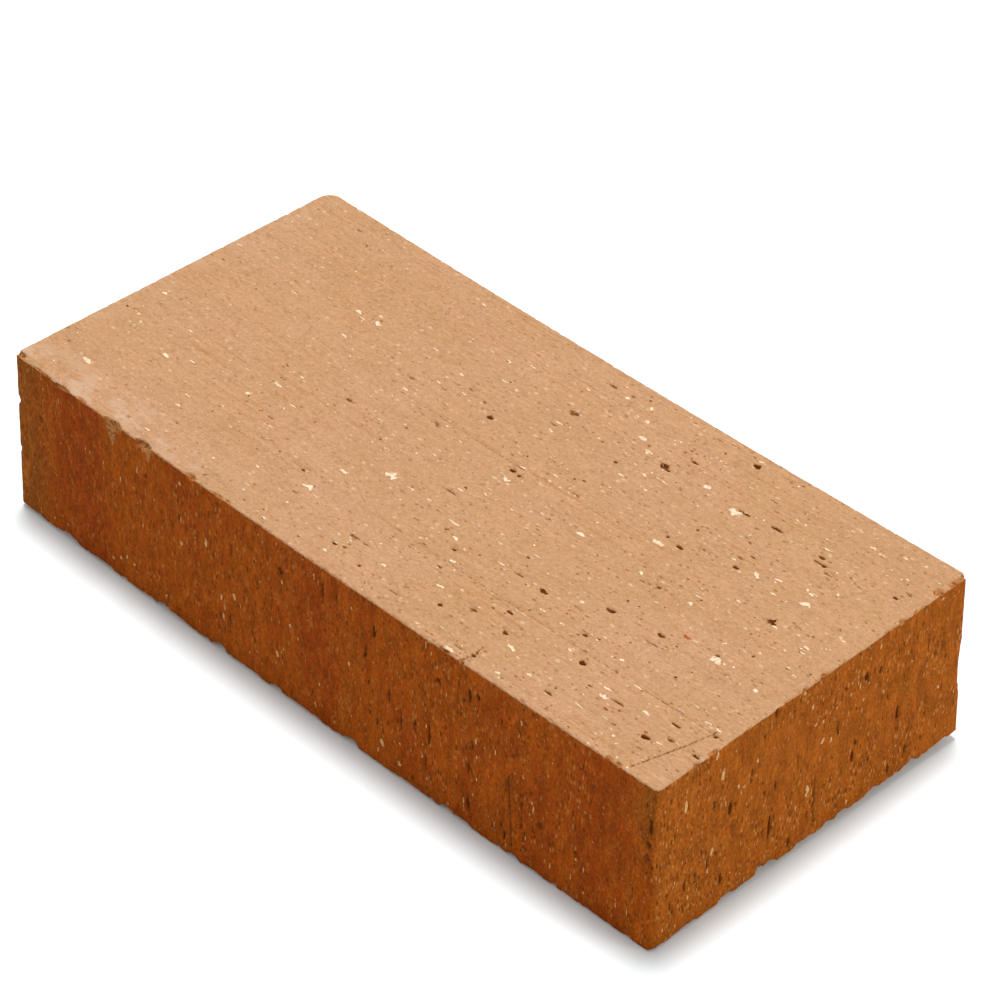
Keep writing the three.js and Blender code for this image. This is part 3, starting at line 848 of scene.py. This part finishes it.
def clay_material():
    n = Nodes("fired_clay_body", 0.95, 0.03)
    ragged = n.math("MULTIPLY_ADD", n.noise((1.2, 1.2, 1.2), 3, 0.7), 0.60, -0.32)
    bed = n.step(n.math("ADD", n.attribute("bed"), ragged), 0.38, 0.54)
    place = n.add("ShaderNodeSeparateXYZ", None, Vector=n.place()).outputs
    fresh = n.step(place["X"], -100, 50, 0.35, 1.0)

    # The wire-cut bed faces: dusty tan, mottled, with drag marks along X.
    tan = n.mix(n.step(n.noise((46, 30, 30), 3), 0.35, 0.7), BED_TAN, BED_PINK)
    tan = n.mix(n.math("MULTIPLY", n.step(n.noise((7, 3.2, 3), 3, 0.6), 0.46, 0.78), 0.34), tan, BED_BROWN)
    blots = n.math("MULTIPLY", n.step(n.noise((2.2, 1.2, 1.4), 3, 0.65), 0.52, 0.70), 0.62)
    tan = n.mix(blots, tan, BED_BROWN)
    # Warmer streaks where the wire dragged damp clay along.
    swept = n.step(n.noise((24, 1.0, 5), 3, 0.65), 0.52, 0.70)
    swept = n.math("MULTIPLY", swept, n.step(n.noise((38, 20, 20), 2), 0.4, 0.6))
    tan = n.mix(n.math("MULTIPLY", swept, 0.42), tan, BED_RUST)
    drags = n.step(n.noise((60, 0.9, 5), 2, 0.6), 0.25, 0.7, 0.95, 1.03)
    dust = n.step(n.noise((0.9, 0.6, 0.7), 3, 0.75), 0.28, 0.72, 0.86, 1.15)
    tan = n.shade(n.shade(tan, drags), dust)
    tan = n.mix(n.math("MULTIPLY", n.specks((1.7, 0.8, 1.2), 0.20, 0.15, 0.5), 0.5), tan, PALE_FLECK)
    dark = n.math("MULTIPLY", n.specks((1.9, 1.0, 1.3), 0.19, 0.15, 0.5), 0.70)
    tan = n.mix(n.math("MULTIPLY", dark, fresh), tan, DARK_FLECK)
    # Bigger and softer flecks, as many at the far end as at the near one.
    tan = n.mix(n.math("MULTIPLY", n.specks((3.2, 1.9, 2.3), 0.46, 0.10, 0.32), 0.80), tan, PALE_FLECK)
    tan = n.mix(n.math("MULTIPLY", n.specks((2.8, 1.7, 2.0), 0.40, 0.10, 0.32), 0.55), tan, DARK_FLECK)
    # Pale dust along the two worn edges at the far end.
    rim = n.math("MULTIPLY", n.step(place["Y"], -HALF_W + 16, -HALF_W + 2), n.step(place["X"], -20, -80))
    rim = n.math("MAXIMUM", rim, n.step(place["X"], -HALF_L + 12, -HALF_L + 1, 0.0, 0.4))
    rim = n.math("MULTIPLY", rim, n.step(n.noise((8, 5, 5), 4, 0.65), 0.45, 0.62, 0.0, 0.7))
    tan = n.mix(rim, tan, BED_DUST)

    # The sides: richer and darker, streaked upright by the die. The ends are lighter than the long sides.
    orange = n.mix(n.step(n.noise((15, 15, 70), 2), 0.45, 0.68, 0.0, 0.55), DIE_ORANGE, DIE_RED)
    # On the front a smooth redder stretch near the far end, and a drab patch beside the near upright edge.
    front = n.step(place["Y"], -HALF_W + 8, -HALF_W + 4)
    wavy = n.math("ADD", n.math("MULTIPLY_ADD", n.noise((9, 9, 14), 2), 10, -5), place["X"])
    red = n.math("MULTIPLY", n.step(wavy, -108, -94), n.step(wavy, -79, -82))
    red = n.math("MAXIMUM", red, n.math("MULTIPLY", n.step(wavy, -5, -1), n.step(wavy, 8, 4, 0, 0.5)))
    red = n.math("MAXIMUM", red, n.math("MULTIPLY", n.step(wavy, 92, 98), n.step(wavy, 113, 109, 0, 0.6)))
    orange = n.mix(n.math("MULTIPLY", n.math("MULTIPLY", red, front), 0.75), orange, DIE_RED)
    drab = n.math("MULTIPLY", n.step(wavy, 111, 117), n.step(place["Z"], 24, 44, 0, 0.55))
    drab = n.math("MAXIMUM", drab, n.step(wavy, -103, -112, 0, 0.6))
    orange = n.mix(n.math("MULTIPLY", drab, front), orange, DIE_OLIVE)
    orange = n.mix(n.attribute("end"), orange, DIE_END)
    tanned = n.step(n.noise((2.0, 2.0, 6), 4, 0.75), 0.5, 0.72, 0.0, 0.65)
    orange = n.mix(tanned, orange, DIE_TAN)
    patches = n.step(n.noise((3.2, 3.2, 7), 3, 0.65), 0.3, 0.7, 0.84, 1.16)
    streaks = n.step(n.noise((0.7, 0.7, 6), 3, 0.7), 0.25, 0.75, 0.89, 1.11)
    grain = n.step(n.noise((0.55, 0.55, 1.1), 3, 0.75), 0.30, 0.70, 0.70, 1.30)
    orange = n.shade(n.shade(n.shade(orange, patches), streaks), grain)
    pale = n.math("MULTIPLY_ADD", n.attribute("end"), 0.24, 0.70)
    pale = n.math("MULTIPLY", n.specks((0.9, 0.9, 2.4), 0.42, 0.14, 0.52), pale)
    orange = n.mix(pale, orange, DIE_FLECK)
    # Dark specks in a pit's colour: darker clay with painted shade, where no hollow is modelled.
    dark = n.math("MULTIPLY", n.specks((0.9, 0.9, 2.8), 0.30, 0.18, 0.55), 0.8)
    orange = n.mix(dark, orange, PIT_CLAY_AND_SHADE)

    color = n.mix(bed, orange, tan)
    broken = n.mix(n.step(n.noise((1.0, 1.0, 1.0), 3, 0.7), 0.34, 0.56), RAW_BROWN, RAW_CLAY)
    color = n.mix(n.math("MULTIPLY", n.attribute("raw"), 0.85), color, broken)
    # The pits: darker clay with painted shade, darker the deeper the hollow.
    split = n.math("MULTIPLY_ADD", n.noise((0.8, 0.8, 0.8), 3, 0.7), 0.6, -0.30)
    depth = n.math("ADD", n.attribute("sunk"), split)
    color = n.mix(n.step(depth, 0.14, 0.30, 0.0, 0.6), color, PIT_RIM_CLAY_AND_SHADE)
    color = n.mix(n.step(depth, 0.18, 0.50, 0.0, 0.96), color, n.mix(bed, PIT_CLAY_AND_SHADE, BED_PIT_CLAY_AND_SHADE))
    n.put(n.shader.inputs["Base Color"], color)

    n.put(n.shader.inputs["Roughness"], n.math("MULTIPLY_ADD", bed, 0.1, 0.86))
    bed_relief = n.math("MULTIPLY_ADD", n.noise((9, 0.35, 1), 2), 0.6, n.noise((0.32, 0.28, 0.3), 3, 0.7))
    die_relief = n.math("MULTIPLY_ADD", n.noise((0.4, 0.4, 4), 2), 0.8, n.noise((0.32, 0.32, 0.5), 3, 0.7))
    relief = n.add("ShaderNodeMix", {"data_type": "FLOAT"})
    for index, value in ((0, bed), (2, die_relief), (3, bed_relief)):
        n.put(relief.inputs[index], value)
    n.bump(relief.outputs[0], 0.25)
    return n.material


def stone_material(name, on_bed, on_die, roughness):
    """A mineral grain, partly hidden under a smear of the clay it sits in."""
    n = Nodes(name, roughness, 0.03)
    bed = n.attribute("bed")
    smear = n.mix(bed, n.mix(n.attribute("end"), DIE_ORANGE, DIE_END), BED_TAN)
    bare = n.attribute("bare")
    cloudy = n.step(n.noise((0.9, 0.9, 0.9), 3, 0.7), 0.3, 0.7, 0.75, 1.2)
    mineral = n.shade(n.mix(bed, on_die, on_bed), cloudy)
    mineral = n.shade(mineral, n.math("MULTIPLY_ADD", bare, 0.35, 0.70))
    cover = n.math("MULTIPLY_ADD", bare, 0.5, n.noise((0.7, 0.7, 0.7), 2, 0.6))
    cover = n.math("ADD", cover, n.step(n.attribute("rim"), 0.45, 1.0, 0.05, -0.32))
    n.put(n.shader.inputs["Base Color"], n.mix(n.step(cover, 0.56, 0.84), smear, mineral))
    n.bump(n.noise((0.3, 0.3, 0.3), 3, 0.6), 0.15)
    return n.material


def dress(piece, material):
    piece.data.materials.clear()
    piece.data.materials.append(material)


# ---------------------------------------------------------------- floor and light, in metres
FLOOR_DROP = 0.0002                        # so that the floor and the clay's underside don't share a plane
WORLD_STRENGTH = 0.62


def make_stage():
    size = 6.0
    corners = np.array([(-size, -size, 0), (size, -size, 0), (size, size, 0), (-size, size, 0)]) / MM
    floor = add_object("floor", corners, np.array([[0, 1, 2, 3]]), 4)
    floor.location.z = body_low.z - FLOOR_DROP
    n = Nodes("floor_paper", 0.9, 0.1)
    n.shader.inputs["Base Color"].default_value = (0.845, 0.89, 0.90, 1)
    dress(floor, n.material)


def soft_light(name, shape, place, aim, size, power):
    data = bpy.data.lights.new(name, "AREA")
    data.shape = shape
    data.size, data.size_y = size
    data.energy = power
    lamp = bpy.data.objects.new(name, data)
    lamp.location = place
    lamp.rotation_euler = (Vector(aim) - Vector(place)).to_track_quat("-Z", "Y").to_euler()
    bpy.context.scene.collection.objects.link(lamp)


def make_light():
    world = bpy.data.worlds.new("studio")
    world.use_nodes = True
    world.node_tree.nodes["Background"].inputs["Color"].default_value = (1, 1, 1, 1)
    world.node_tree.nodes["Background"].inputs["Strength"].default_value = WORLD_STRENGTH
    bpy.context.scene.world = world
    # Nearly straight above, and a little behind: its shadow reaches only some 8 mm past the two near sides.
    soft_light("overhead", "DISK", (-0.225, 0.242, 3.05), (0, 0, 0.05), (0.70, 0.70), 83)
    soft_light("end_fill", "RECTANGLE", (1.1, 0.40, 0.22), (0.12, 0, 0.02), (0.4, 0.3), 4.6)
    view = bpy.context.scene.view_settings
    view.view_transform = "Standard"
    view.look = "None"
    view.exposure = 0.0


# ---------------------------------------------------------------- the whole scene
make_camera()
make_stage()
make_light()
random = np.random.default_rng(SEED)
clay, block, shaped = make_clay(random)
dress(clay, clay_material())
stones = {
    "quartz": stone_material("quartz_stone", (0.74, 0.55, 0.38), (0.52, 0.28, 0.115), 0.6),
    "ironstone": stone_material("ironstone", (0.095, 0.024, 0.002), (0.10, 0.020, 0.002), 0.8),
    "red_grog": stone_material("red_grog", (0.30, 0.075, 0.025), (0.24, 0.040, 0.008), 0.9),
}
for kind, pieces in make_named_grains(block, shaped).items():
    for piece in pieces:
        dress(piece, stones[kind])
for kind, piece in make_fine_grains(block, shaped, random).items():
    dress(piece, stones[kind])
